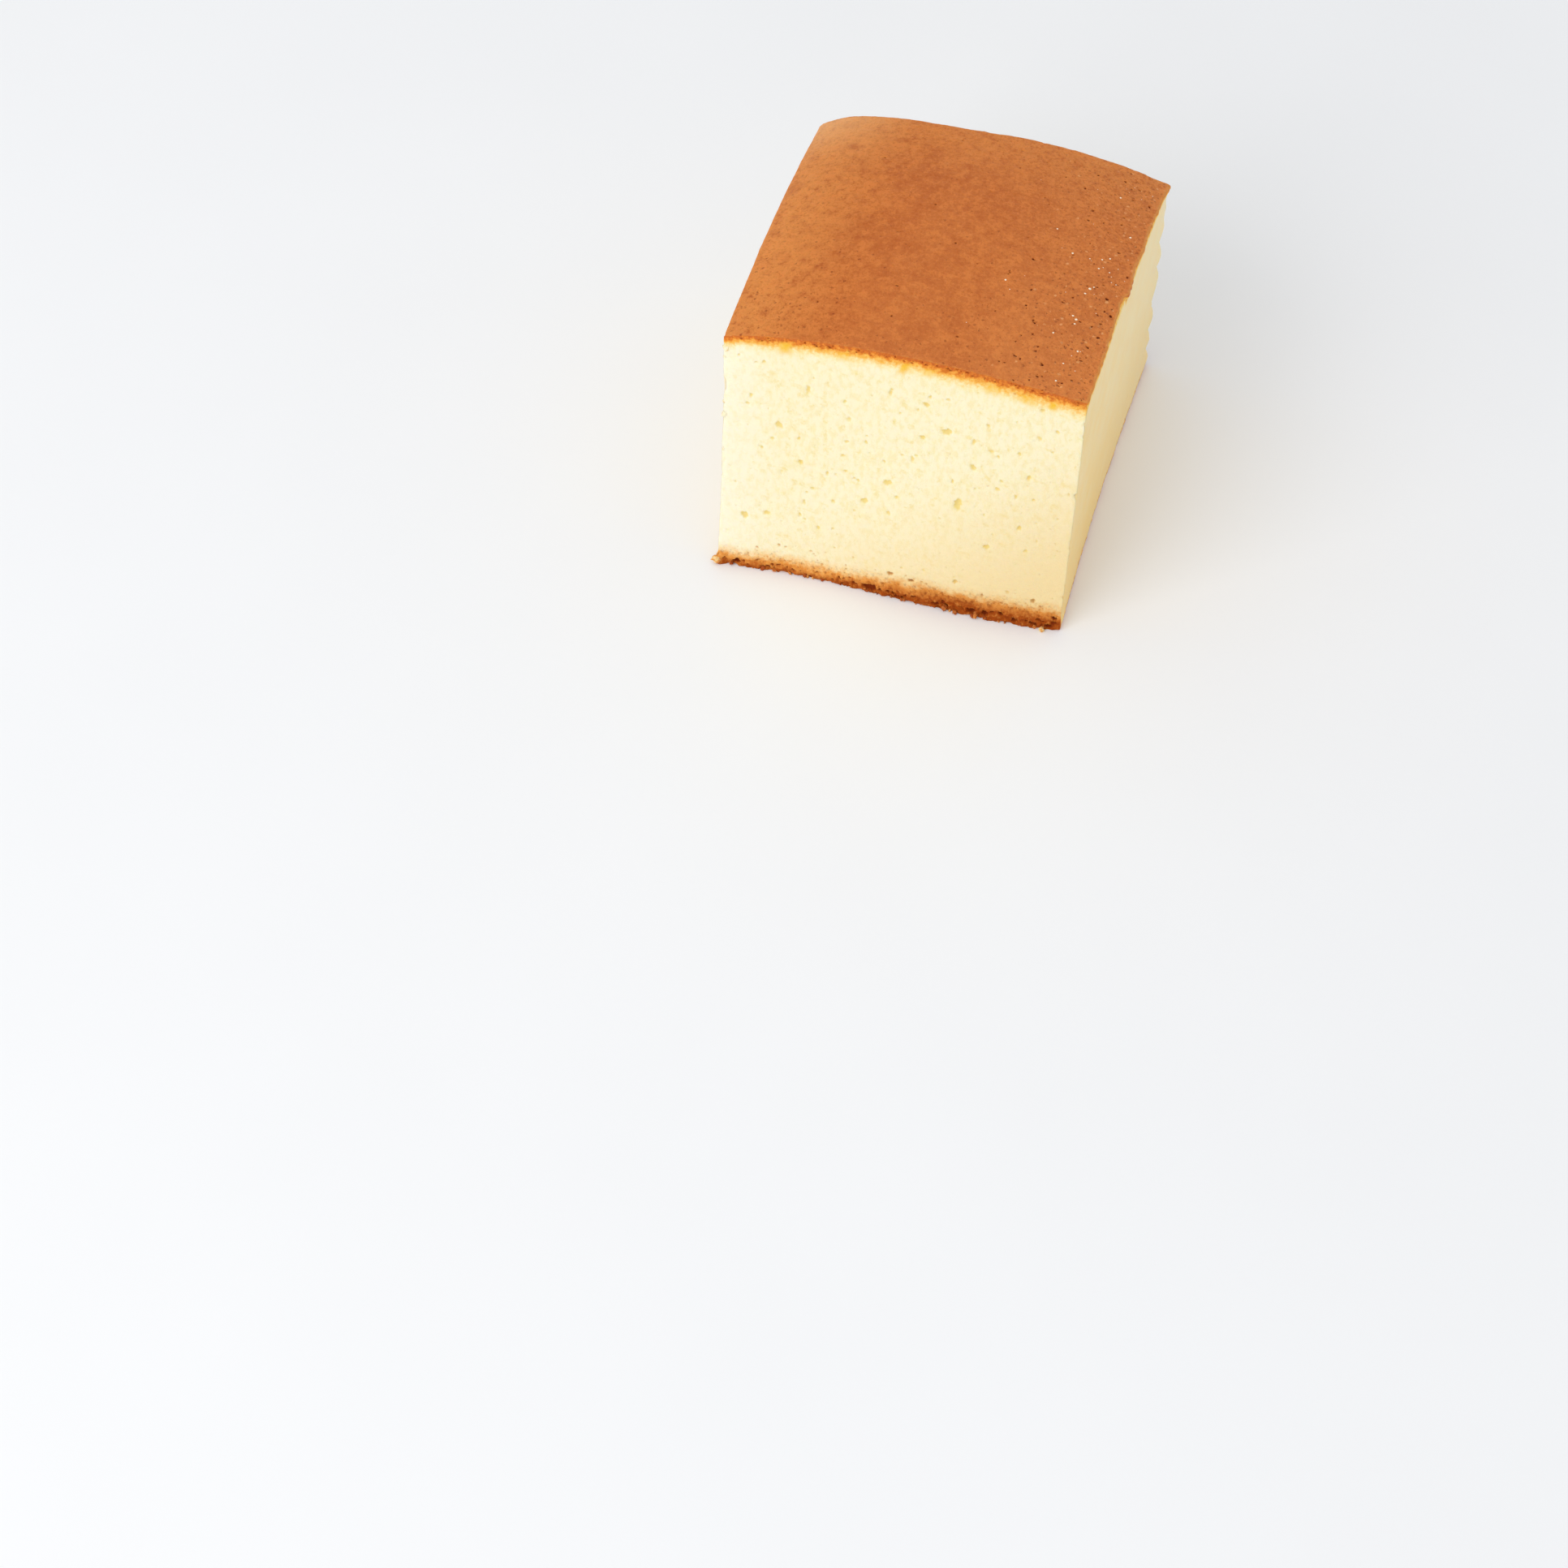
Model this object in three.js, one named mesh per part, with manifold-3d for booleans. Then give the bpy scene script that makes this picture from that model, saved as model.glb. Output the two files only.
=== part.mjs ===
// A block of castella, the tall plain sponge cake baked in a loaf tin. It is the piece that is left
// standing once slices have been cut from one end: two knife cuts, two soft sides where the baking
// paper was peeled away, a domed brown crust on top and a thin ragged brown base.
// Millimetres, +Z up. +X runs across the loaf and +Y from the front cut to the back cut. The origin
// is under the middle of the block, and the base lies on z = 0.
import * as THREE from 'three';
import { mergeVertices } from 'three/addons/utils/BufferGeometryUtils.js';
import Module from 'manifold-3d';

// Driving dimensions of the block
const width = 80;             // across the loaf, at the base
const baseLength = 86;        // front cut to back cut, at the base
const frontHeight = 63.3;     // side edges of the crust above the table, at the front cut
const backHeight = 56;        // and at the back cut, nearer the end of the loaf
const crownFront = 3.8;       // the dome's rise over those edges at the front cut
const crownBack = 7;          // and at the back cut
const crownAlong = 2.3;       // how far the side edges themselves arch between the cuts
const leftShoulder = [3, 4.6];     // fullness of the dome's two shoulders, at the front and the back
const rightShoulder = [1.6, 2.1];
const frontLean = 10.2;       // the knife leaned: the front cut's top lies this much further back
const cutSkew = 1.7;          // the front cut runs this much further back at its right end
const cutWave = 0.9;          // the knife's wander along the front cut's foot
const backLean = 0.4;         // the back cut's top lies this much further back than its foot
const backSkew = 1;           // and its right end this much further back than its left
const backWave = 0.5;         // the knife's wander over the back cut
const backWaves = 1.6;        // half waves of it across the loaf
// The two sides, measured to the right: the lean at the front cut, then the foot and lean at the back
const leftSide = { frontLean: 1.4, backFoot: 0.6, backLean: -1 };
const rightSide = { frontLean: 0.5, backFoot: -0.2, backLean: 1 };
const sideWaist = 0.8;        // how far the right side draws in at mid length, near the base
const leftWaist = 0.5;        // and the left side
const edgeRadius = 0.7;       // softness of every edge of the block
const middle = [40.05, 43.6];      // the origin, across and along from the plain block's front left foot

// The browned skins
const crustThickness = 1.8;   // top crust
const crustLip = 0.22;        // how far its cut edge stands proud of the crumb below
const lipHeight = 0.7;        // the share of the crust's thickness that stands fully proud
const lipSlope = 1.1;         // height over which the lip then dies away
const lipLumps = 4.3;         // length of the waves in its lower line
const lipWander = 0.5;        // and how far they reach up and down
const baseCrust = 2.8;        // browned base
const baseShares = [0.6, 0.9];     // shares of it at full flare, and over which the flare dies away
const baseFlare = 0.35;       // how far the base stands out beyond the crumb
const baseCrag = 0.4;         // depth of its crags
const cragLumps = 5.2;        // and their length
const cragSquash = 1.4;       // they are this much shorter than they are long
const cornerFlare = 0.5;      // the base's front left corner, pushed further out
const cornerReach = 4;        // and how far along its two sides

// The scalloped edge where the back cut meets the right side
const scallopDepth = 0.7;
const scallopPitch = 7.5;
const scallopDrift = 0.35;    // how unevenly they are spaced, as a share of the pitch
const scallopInside = 0.6;    // the share of their depth that lies inside the plain edge
const scallopReach = 6;       // how far the scallops run into the two faces
const scallopBack = 0.6;      // their depth on the back cut, as a share of that on the side

// Bubbles cut open in the crumb, pinholes in the crust and crumbs caught along the foot
const frontBubbles = [        // across, up, width and height of the large ones in the front cut
  [54.3, 29.3, 2.1, 3.2], [50.6, 47.1, 2.7, 1.8], [5.8, 14.8, 2.4, 2.0], [38.2, 30.7, 2.4, 1.9],
  [12.9, 40.7, 2.2, 2.1], [33.2, 24.5, 2.5, 1.6], [45.6, 52.6, 2.1, 1.3], [10.9, 16.2, 1.8, 1.6],
  [57.0, 39.7, 1.7, 2.0], [61.6, 19.7, 1.6, 1.6], [19.3, 50.9, 1.5, 2.4], [18.2, 31.6, 1.7, 1.3],
  [45.3, 44.3, 1.4, 1.5], [68.4, 26.6, 1.4, 1.5], [69.3, 40.3, 1.2, 1.9], [73.2, 7.2, 1.6, 1.5],
];
const bubbleDepth = [0.8, 0.4];    // a bowl's depth: this share of its smaller size, and this much more
const bowlSides = [6, 4];     // its facets, round and from end to end
const scatteredBubbles = { front: 6, back: 14, left: 4, right: 4 };
const bubbleSize = [0.9, 1.9];
const bubbleShape = [0.7, 1.2];    // a scattered bubble's second size, as a share of its first
const clearOfEdges = [0.09, 0.91]; // shares of a face's two directions that bubbles keep to
const crustPinholes = 8;
const pinholeSize = [0.8, 1.3];
const caughtCrumbs = 20;
const clearOfCorners = [0.02, 0.98];   // shares of a foot's length that they keep to
const crumbSize = [0.9, 1.7];
const crumbShape = [1.2, 0.9, 1];
const crumbLift = 1.25;       // height of a caught crumb's middle, in its own radii
const seed = 20817;

// Grid lines on the block's faces: close together at the edges and the skins, wide between
const gridStep = 3.5;
const edgeLines = [0, 0.7, 2.1];
const footLines = [0, 0.7, 1.7, 2.8, 4.4, 7];
const crownLines = [0, 0.7, 1.7, 2.6, 4.2, 6.8];
const wallStep = 6.5;
const nominalHeight = 62;     // the height over which the lines up the walls are laid out

const { sin, abs, min, max, sqrt, PI } = Math;
const mix = (a, b, t) => a + (b - a) * t;
const clamp = (x, low, high) => min(max(x, low), high);
const ease = (t) => t * t * (3 - 2 * t);
const fade = (distance, reach) => 1 - ease(clamp(distance / reach, 0, 1));

// Even random numbers from 0 to 1, the same each time
function dice(start) {
  let state = start >>> 0;
  return () => {
    state = (state + 0x6d2b79f5) >>> 0;
    let t = state;
    t = Math.imul(t ^ (t >>> 15), t | 1);
    t ^= t + Math.imul(t ^ (t >>> 7), t | 61);
    return ((t ^ (t >>> 14)) >>> 0) / 4294967296;
  };
}

// A smooth uneven wave between about -1 and 1, whose lumps are this far across: three sines that
// bend one another, and a finer one
function lumps(x, y, z, size) {
  const a = sin((2 * PI * x) / size + 1.7 * sin((2 * PI * (y + z)) / (1.9 * size)));
  const b = sin((2 * PI * y) / (0.83 * size) + 1.3 * sin((2 * PI * (z - x)) / (2.3 * size)));
  const c = sin((2 * PI * z) / (1.21 * size) + 1.9 * sin((2 * PI * (x + y)) / (1.6 * size)));
  return (a + b + c) / 3 + 0.35 * sin((2 * PI * (x - y + 0.7 * z)) / (0.47 * size));
}

// The dome across the loaf, 0 at the side edges and 1 at its top: its left shoulder is the rounder
function dome(u, v) {
  const fromMiddle = abs(2 * u - 1);
  const [front, back] = u < 0.5 ? leftShoulder : rightShoulder;
  return 1 - fromMiddle ** mix(front, back, v);
}

function crustHeight(u, v) {
  const edge = mix(frontHeight, backHeight, v) + crownAlong * 4 * v * (1 - v);
  return edge + mix(crownFront, crownBack, v) * dome(u, v);
}

// The block before its skins: u runs across, v from front to back and w up, each from 0 to 1
function plainBlock(u, v, w) {
  const middling = 4 * v * (1 - v) * (1 - w);
  const leftFront = leftSide.frontLean * sin((PI / 2) * w);
  const rightFront = rightSide.frontLean * w;
  const [leftBack, rightBack] = [leftSide, rightSide].map((side) => side.backFoot + side.backLean * w);
  const left = mix(leftFront, leftBack, v) + leftWaist * middling;
  const right = width + mix(rightFront, rightBack, v) - sideWaist * middling;
  const front = cutSkew * u + frontLean * w + cutWave * sin(2 * PI * u) * (1 - w);
  const back = baseLength + backSkew * u + backLean * w + backWave * sin(PI * (backWaves * u + w));
  return new THREE.Vector3(mix(left, right, u), mix(front, back, v), w * crustHeight(u, v));
}

// Softens the block's edges: each point near an edge moves on to a small round
function softened(u, v, w) {
  const size = [width, baseLength, nominalHeight];
  const point = [u * width, v * baseLength, w * nominalHeight];
  const core = point.map((p, i) => clamp(p, edgeRadius, size[i] - edgeRadius));
  const out = point.map((p, i) => p - core[i]);
  const length = sqrt(out[0] ** 2 + out[1] ** 2 + out[2] ** 2);
  return core.map((c, i) => (c + (out[i] / length) * edgeRadius) / size[i]);
}

// How far each face stands out from the plain block near a point, as a push along its own normal
function skinPush(point, u, v, w) {
  const { x, y, z } = point;
  const depth = crustHeight(u, v) * (1 - w);
  const lipLine = lipHeight * crustThickness + lipWander * lumps(x, y, 0, lipLumps);
  const lip = crustLip * fade(depth - lipLine, lipSlope);
  const [full, dying] = baseShares;
  const onBase = fade(z - full * baseCrust, dying * baseCrust);
  const flare = onBase * (baseFlare + baseCrag * lumps(x, y, cragSquash * z, cragLumps));
  const atCorner = fade(u * width, cornerReach) * fade(v * baseLength, cornerReach);
  return lip + flare + cornerFlare * onBase * atCorner;
}

function scallop(u, v, z) {
  const near = fade((1 - u) * width, scallopReach) * fade((1 - v) * baseLength, scallopReach);
  const along = z / scallopPitch + scallopDrift * sin(z / scallopPitch);
  return near * scallopDepth * (abs(sin(PI * along)) - scallopInside);
}

// A point of the finished surface. A face pushes its own points and, less and less, its neighbours'
function surface(u, v, w) {
  const point = plainBlock(...softened(u, v, w));
  const push = skinPush(point, u, v, w);
  const reach = 2 * edgeRadius;
  const sideways = fade((1 - u) * width, reach) - fade(u * width, reach);
  const lengthways = fade((1 - v) * baseLength, reach) - fade(v * baseLength, reach);
  const torn = scallop(u, v, point.z);
  point.x += sideways * push + torn;
  point.y += lengthways * push + torn * scallopBack;
  return point;
}

// Lines across a face of this length, close together at both its ends
function evenLines(length) {
  const edge = edgeLines.at(-1);
  const inner = length - 2 * edge;
  const count = Math.round(inner / gridStep);
  const between = Array.from({ length: count - 1 }, (_, i) => edge + (inner * (i + 1)) / count);
  const far = edgeLines.map((d) => length - d).reverse();
  return [...edgeLines, ...between, ...far].map((d) => d / length);
}

function wallLines() {
  const low = footLines.at(-1);
  const high = nominalHeight - crownLines.at(-1);
  const count = Math.round((high - low) / wallStep);
  const wall = Array.from({ length: count - 1 }, (_, i) => low + ((high - low) * (i + 1)) / count);
  const crown = crownLines.map((d) => nominalHeight - d).reverse();
  return [...footLines, ...wall, ...crown].map((d) => d / nominalHeight);
}

// The faces that show. first runs along one grid direction and second along the other, so that
// first turned towards second faces out of the block
const across = evenLines(width);
const along = evenLines(baseLength);
const up = wallLines();
const faces = {
  front: { first: across, second: up, place: (s, t) => [s, 0, t] },
  back: { first: up, second: across, place: (s, t) => [t, 1, s] },
  left: { first: up, second: along, place: (s, t) => [0, t, s] },
  right: { first: along, second: up, place: (s, t) => [1, s, t] },
  top: { first: across, second: along, place: (s, t) => [s, t, 1] },
};

function blockGeometry() {
  const corners = [];
  const triangle = (a, b, c) => corners.push(...a.toArray(), ...b.toArray(), ...c.toArray());
  for (const { first, second, place } of Object.values(faces)) {
    const points = first.map((s) => second.map((t) => surface(...place(s, t))));
    for (let i = 0; i + 1 < first.length; i += 1) {
      for (let j = 0; j + 1 < second.length; j += 1) {
        const [a, b] = [points[i][j], points[i + 1][j]];
        const [c, d] = [points[i + 1][j + 1], points[i][j + 1]];
        const rising = (i + j) % 2 === 0;
        triangle(a, b, rising ? c : d);
        triangle(rising ? a : b, c, d);
      }
    }
  }

  // Under the base, a narrow rounded strip runs round a flat floor
  const rim = [
    ...across.map((s) => [s, 0]),
    ...along.slice(1).map((s) => [1, s]),
    ...across.slice(0, -1).reverse().map((s) => [s, 1]),
    ...along.slice(0, -1).reverse().map((s) => [0, s]),
  ];
  const inset = ([s, t]) => [clamp(s, across[1], across.at(-2)), clamp(t, along[1], along.at(-2))];
  const floorMiddle = surface(0.5, 0.5, 0);
  for (let i = 0; i + 1 < rim.length; i += 1) {
    const pair = [rim[i], rim[i + 1]];
    const [a, b] = pair.map(([s, t]) => surface(s, t, 0));
    const [c, d] = pair.map((place) => surface(...inset(place), 0));
    triangle(b, a, c);
    if (!c.equals(d)) {
      triangle(b, c, d);
      triangle(floorMiddle, d, c);
    }
  }
  const geometry = new THREE.BufferGeometry();
  geometry.setAttribute('position', new THREE.Float32BufferAttribute(corners, 3));
  return geometry;
}

// A point of a face with its outward direction as the third axis
function frameAt({ place }, s, t) {
  const near = 0.004;
  const point = surface(...place(s, t));
  const firstWay = surface(...place(s + near, t)).sub(point);
  const secondWay = surface(...place(s, t + near)).sub(point);
  const outward = firstWay.clone().cross(secondWay).normalize();
  const firstAxis = firstWay.normalize();
  const secondAxis = outward.clone().cross(firstAxis);
  return new THREE.Matrix4().makeBasis(firstAxis, secondAxis, outward).setPosition(point);
}

const wasm = await Module();
wasm.setup();

function solidFrom(geometry) {
  const bare = geometry.clone();
  bare.deleteAttribute('normal');
  bare.deleteAttribute('uv');
  const merged = mergeVertices(bare, 1e-4);
  return new wasm.Manifold(new wasm.Mesh({
    numProp: 3,
    vertProperties: new Float32Array(merged.attributes.position.array),
    triVerts: new Uint32Array(merged.index.array),
  }));
}

function geometryFrom(solid) {
  const { vertProperties, triVerts } = solid.getMesh();
  const geometry = new THREE.BufferGeometry();
  geometry.setAttribute('position', new THREE.BufferAttribute(new Float32Array(vertProperties), 3));
  geometry.setIndex(new THREE.BufferAttribute(new Uint32Array(triVerts), 1));
  return geometry;
}

// A bubble cut open by the face: an egg-shaped bowl of this size along the face's two directions
function bowl(face, s, t, firstSize, secondSize) {
  const depth = bubbleDepth[0] * min(firstSize, secondSize) + bubbleDepth[1];
  const shape = new THREE.SphereGeometry(0.5, ...bowlSides).rotateX(PI / 2);
  shape.scale(firstSize, secondSize, 2 * depth);
  return solidFrom(shape.applyMatrix4(frameAt(face, s, t)));
}

const roll = dice(seed);
const between = ([low, high]) => mix(low, high, roll());
let block = solidFrom(blockGeometry());

for (const [x, z, wide, high] of frontBubbles) {
  block = block.subtract(bowl(faces.front, x / width, z / frontHeight, wide, high));
}
for (const [name, count] of Object.entries(scatteredBubbles)) {
  for (let i = 0; i < count; i += 1) {
    const [s, t] = [between(clearOfEdges), between(clearOfEdges)];
    const size = between(bubbleSize);
    block = block.subtract(bowl(faces[name], s, t, size, size * between(bubbleShape)));
  }
}
// Most pinholes lie towards the crust's right side
for (let i = 0; i < crustPinholes; i += 1) {
  const s = mix(...clearOfEdges, sqrt(roll()));
  const size = between(pinholeSize);
  block = block.subtract(bowl(faces.top, s, between(clearOfEdges), size, size));
}

// Crumbs caught along the foot of the four walls, just clear of the table
const feet = [(s) => [s, 0], (s) => [1, s], (s) => [0, s], (s) => [s, 1]];
for (let i = 0; i < caughtCrumbs; i += 1) {
  const radius = between(crumbSize) / 2;
  const spot = surface(...feet[i % feet.length](between(clearOfCorners)), 0);
  const crumb = new THREE.IcosahedronGeometry(radius, 0);
  crumb.rotateX(PI * roll()).rotateY(PI * roll()).scale(...crumbShape);
  crumb.translate(spot.x, spot.y, crumbLift * radius);
  block = block.add(solidFrom(crumb));
}

const geometry = geometryFrom(block);
geometry.translate(-middle[0], -middle[1], 0);

const sponge = new THREE.MeshStandardMaterial({ color: 0xfbeec6, roughness: 0.9, metalness: 0 });
const cake = new THREE.Mesh(geometry, sponge);
cake.name = 'castella_block';

const group = new THREE.Group();
group.add(cake);
export default group;
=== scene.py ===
import itertools
import math

import bmesh
import bpy
import numpy as np
from mathutils import Euler, Matrix, Vector


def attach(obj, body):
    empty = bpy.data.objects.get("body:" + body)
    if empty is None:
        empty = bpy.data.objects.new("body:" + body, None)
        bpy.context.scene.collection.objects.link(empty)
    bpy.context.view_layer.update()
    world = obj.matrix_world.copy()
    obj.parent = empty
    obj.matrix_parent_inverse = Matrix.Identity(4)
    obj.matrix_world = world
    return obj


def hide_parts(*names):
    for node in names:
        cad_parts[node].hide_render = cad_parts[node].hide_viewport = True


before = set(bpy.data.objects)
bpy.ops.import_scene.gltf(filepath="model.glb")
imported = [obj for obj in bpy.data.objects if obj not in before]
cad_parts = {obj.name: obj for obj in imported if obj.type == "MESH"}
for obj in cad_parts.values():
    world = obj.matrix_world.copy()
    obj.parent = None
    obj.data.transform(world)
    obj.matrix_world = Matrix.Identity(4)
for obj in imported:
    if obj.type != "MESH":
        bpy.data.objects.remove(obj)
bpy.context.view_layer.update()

# ---------------------------------------------------------------------------------------------
# The block: the piece of a castella loaf that is left standing, a fine egg sponge baked as one. The
# tin's paper left its two sides smooth, the oven gave it a thin brown skin and a crumbling browned
# base, and a long knife cut its front and back, opening the bubbles in the crumb.
# ---------------------------------------------------------------------------------------------
MM = 0.001
WIDTH = 80.0             # millimetres, all measured from the plain block's front left foot
BASE_LENGTH = 86.0
NOMINAL_HEIGHT = 62.0
FRONT_HEIGHT = 63.3      # the side edges of the crust, at the front cut
BACK_HEIGHT = 56.0       # and at the back cut
CROWN_FRONT = 3.8        # the dome's rise over those edges, at the front and the back
CROWN_BACK = 7.0
CROWN_ALONG = 2.3        # how far the side edges arch between the cuts
LEFT_SHOULDER = (3.0, 4.6)     # fullness of the dome's shoulders, at the front and the back
RIGHT_SHOULDER = (1.6, 2.1)
FRONT_LEAN = 10.2        # the front cut's top lies this much further back than its foot
CUT_SKEW = 1.7           # and its right end this much further back than its left
CUT_WAVE = 0.9           # the knife's wander along the front cut's foot
BACK_LEAN = 0.4          # the same for the back cut
BACK_SKEW = 1.0
BACK_WAVE = 0.5
BACK_WAVES = 1.6         # how many half waves it has from side to side
LEFT_SIDE = (1.4, 0.6, -1.0)   # lean at the front cut, then foot and lean at the back cut
RIGHT_SIDE = (0.5, -0.2, 1.0)
LEFT_WAIST = 0.5         # how far each side draws in at mid length, near the base
RIGHT_WAIST = 0.8
EDGE_RADIUS = 0.4
MIDDLE = np.array([40.05, 43.6, 0.0])   # the origin, under the middle of the block
BLOCK_SIZE = np.array([WIDTH, BASE_LENGTH, NOMINAL_HEIGHT])

CRUST = 1.8              # thickness of the brown top skin
CRUST_LIP = 0.22         # how far its cut edge stands proud of the crumb
LIP_FOOT = 0.7 * CRUST   # the lip starts to die away this far down
LIP_FADE = 0.9
LIP_FRINGE = ((0.6, 1.9, 11), (0.5, 0.8, 12))        # its raggedness: each cloud's share, lump and seed
FRINGE_DROP = 0.6        # how far down the fringe hangs, and how much it thickens the lip
FRINGE_SWELL = 0.7
BASE_CRUST = 2.8         # height of the browned base
BASE_FLARE = 0.25        # how far it flares out, and how much its crags add or take away
BASE_CRAG = 0.4
BASE_CRAGS = ((0.7, 3.1, 13), (0.6, 1.3, 14), (0.8, 0.65, 15))
FLARE_TOP = 0.6 * BASE_CRUST     # the flare starts to die away this far up
FLARE_FADE = 0.9 * BASE_CRUST
SIDE_FLARE = 0.25        # the share of the flare and crags that the peeled sides have
CORNER_FLARE = 0.4       # more of it at the front left foot
CORNER_REACH = 3.0
RIGHT_EDGE = [           # along, and how far the crust's torn right edge hangs over there
    (0, 0.1), (8, 0.0), (20, 0.1), (31, -0.1), (39, -0.2), (44.8, -0.35), (46.2, 0.5), (50, 0.35),
    (55, -0.1), (62, 0.2), (68, -0.15), (77, 0.1), (83, 0.1), (86, 0.4),
]
RIGHT_EDGE_FRAY = 0.12   # the finer tears in it
HANG_WIDTH = 2.6         # how far in from the edge, and down from the crust, the overhang reaches
HANG_DROP = 0.9
NICK_DEPTH = 0.8         # where crumb pulled away from the upright edges
NICK_REACH = 1.3
NICK_LENGTH = 1.6
NICK_GAPS = 0.2          # more would leave more of the edge whole
SWELL = ((0.09, 8, 18), (0.04, 2.2, 19), (0.03, 0.8, 16))     # the skin's slight unevenness
SCALLOP_DEPTH = 0.7      # the torn lobes down the back right edge
SCALLOP_PITCH = 7.5
SCALLOP_DRIFT = 0.35     # how unevenly they follow each other
SCALLOP_INSIDE = 0.6     # the share of their depth that lies inside the plain block
SCALLOP_REACH = 6.0
SCALLOP_TOP = 8.0        # this near the crust only a share of their depth is left
SCALLOP_TOP_SHARE = 0.25
SCALLOP_WAY = (1, 0.6, 0)        # they stand out to the right, and less to the back


def mix(a, b, share):
    return a + (b - a) * share


def fade(distance, reach):
    """1 at no distance, falling smoothly to 0 at reach."""
    share = np.clip(distance / reach, 0, 1)
    return 1 - share * share * (3 - 2 * share)


def crust_height(u, v):
    """How high the crust is over the foot, u across and v from front to back, from 0 to 1."""
    shoulder = np.where(u < 0.5, mix(*LEFT_SHOULDER, v), mix(*RIGHT_SHOULDER, v))
    dome = 1 - np.abs(2 * u - 1) ** shoulder
    edge = mix(FRONT_HEIGHT, BACK_HEIGHT, v) + CROWN_ALONG * 4 * v * (1 - v)
    return edge + mix(CROWN_FRONT, CROWN_BACK, v) * dome


def plain_block(u, v, w):
    """Points of the bare block: u across, v from front to back and w up, each from 0 to 1."""
    middling = 4 * v * (1 - v) * (1 - w)
    left_front = LEFT_SIDE[0] * np.sin(math.pi / 2 * w)
    right_front = RIGHT_SIDE[0] * w
    left_back, right_back = (side[1] + side[2] * w for side in (LEFT_SIDE, RIGHT_SIDE))
    left = mix(left_front, left_back, v) + LEFT_WAIST * middling
    right = WIDTH + mix(right_front, right_back, v) - RIGHT_WAIST * middling
    front = CUT_SKEW * u + FRONT_LEAN * w + CUT_WAVE * np.sin(2 * math.pi * u) * (1 - w)
    wander = BACK_WAVE * np.sin(math.pi * (BACK_WAVES * u + w))
    back = BASE_LENGTH + BACK_SKEW * u + BACK_LEAN * w + wander
    return np.stack([mix(left, right, u), mix(front, back, v), w * crust_height(u, v)], -1)


def cloud(points, lump, seed):
    """Smooth noise from -1 to 1 whose lumps are this many millimetres across."""
    table = np.random.default_rng(seed).uniform(-1, 1, (32, 32, 32))
    cell = np.asarray(points) / lump
    low = np.floor(cell).astype(int)
    share = cell - low
    share = share * share * (3 - 2 * share)
    total = np.zeros(cell.shape[:-1])
    for corner in itertools.product((0, 1), repeat=3):
        weight = np.prod(np.where(corner, share, 1 - share), axis=-1)
        x, y, z = np.moveaxis((low + corner) % 32, -1, 0)
        total += weight * table[x, y, z]
    return total


def clouds(points, layers):
    """Clouds laid over each other, each with its share, its lump and its seed."""
    return sum(share * cloud(points, lump, seed) for share, lump, seed in layers)


# The skin is laid out as six grids of points, one for each face, which are joined at their edges
GRID = np.array([0.2, 0.28, 0.2])
FACE_LIMIT = 197_000
LINES = np.round(BLOCK_SIZE / GRID).astype(int)
FACES = {  # the axis that each face closes, at which end, and its two grid axes
    "front": (1, 0, 0, 2),
    "back": (1, 1, 2, 0),
    "left": (0, 0, 2, 1),
    "right": (0, 1, 1, 2),
    "top": (2, 1, 0, 1),
    "base": (2, 0, 1, 0),
}
FRONT_BUBBLES = [        # across, up, width, height and depth of the larger bubbles in the front cut
    (54.3, 29.3, 2.1, 3.2, 0.68), (50.6, 47.1, 2.7, 1.8, 0.65), (5.8, 14.8, 2.4, 2.0, 0.6),
    (38.2, 30.7, 2.4, 1.9, 0.55), (12.9, 40.7, 2.2, 2.1, 0.48), (33.2, 24.5, 2.5, 1.6, 0.52),
    (45.6, 52.6, 2.1, 1.3, 0.55), (10.9, 16.2, 1.8, 1.6, 0.48), (57.0, 39.7, 1.7, 2.0, 0.45),
    (61.6, 19.7, 1.6, 1.6, 0.65), (19.3, 50.9, 1.5, 2.4, 0.38), (18.2, 31.6, 1.7, 1.3, 0.5),
    (45.3, 44.3, 1.4, 1.5, 0.5), (68.4, 26.6, 1.4, 1.5, 0.5), (69.3, 40.3, 1.2, 1.9, 0.42),
    (19.4, 20.8, 1.2, 1.9, 0.32), (43.4, 38.2, 1.2, 1.9, 0.34), (56.6, 46.2, 1.1, 2.1, 0.38),
    (62.7, 35.6, 1.4, 1.4, 0.38), (13.9, 28.3, 1.0, 2.1, 0.25), (28.7, 45.1, 1.4, 1.9, 0.3),
    (60.6, 44.8, 1.4, 1.4, 0.36), (70.7, 51.1, 1.5, 1.6, 0.3), (73.2, 7.2, 1.6, 1.5, 0.5),
    (40.3, 6.3, 1.6, 1.3, 0.65), (55.4, 8.5, 1.3, 1.4, 0.52), (45.2, 5.8, 1.6, 0.9, 0.65),
    (67.4, 8.5, 1.0, 1.3, 0.3),
]
FRONT_BUBBLES_SMALL = [  # across and up of the ones that are about a millimetre wide
    (37.1, 36.0), (70.4, 20.8), (28.5, 31.3), (27.7, 35.3), (59.4, 51.1), (38.9, 22.7), (62.2, 43.9),
    (74.3, 53.9), (17.6, 37.8), (66.9, 34.7), (18.6, 17.2), (70.8, 34.9), (28.4, 39.1), (11.5, 36.9),
    (6.4, 47.8), (32.8, 40.0), (9.2, 56.8), (27.6, 49.4), (26.1, 22.6), (52.7, 34.9), (70.6, 58.3),
    (46.3, 54.7), (9.2, 34.2), (24.4, 29.8), (31.5, 29.6), (50.3, 55.1), (63.4, 37.9), (21.2, 25.0),
    (23.0, 14.5), (40.5, 27.4), (66.7, 45.9), (37.6, 53.7), (5.6, 45.7), (61.8, 6.3), (14.1, 7.5),
]
SMALL_WIDTH = (0.9, 1.4)
SMALL_DEPTH = 0.36
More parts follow.
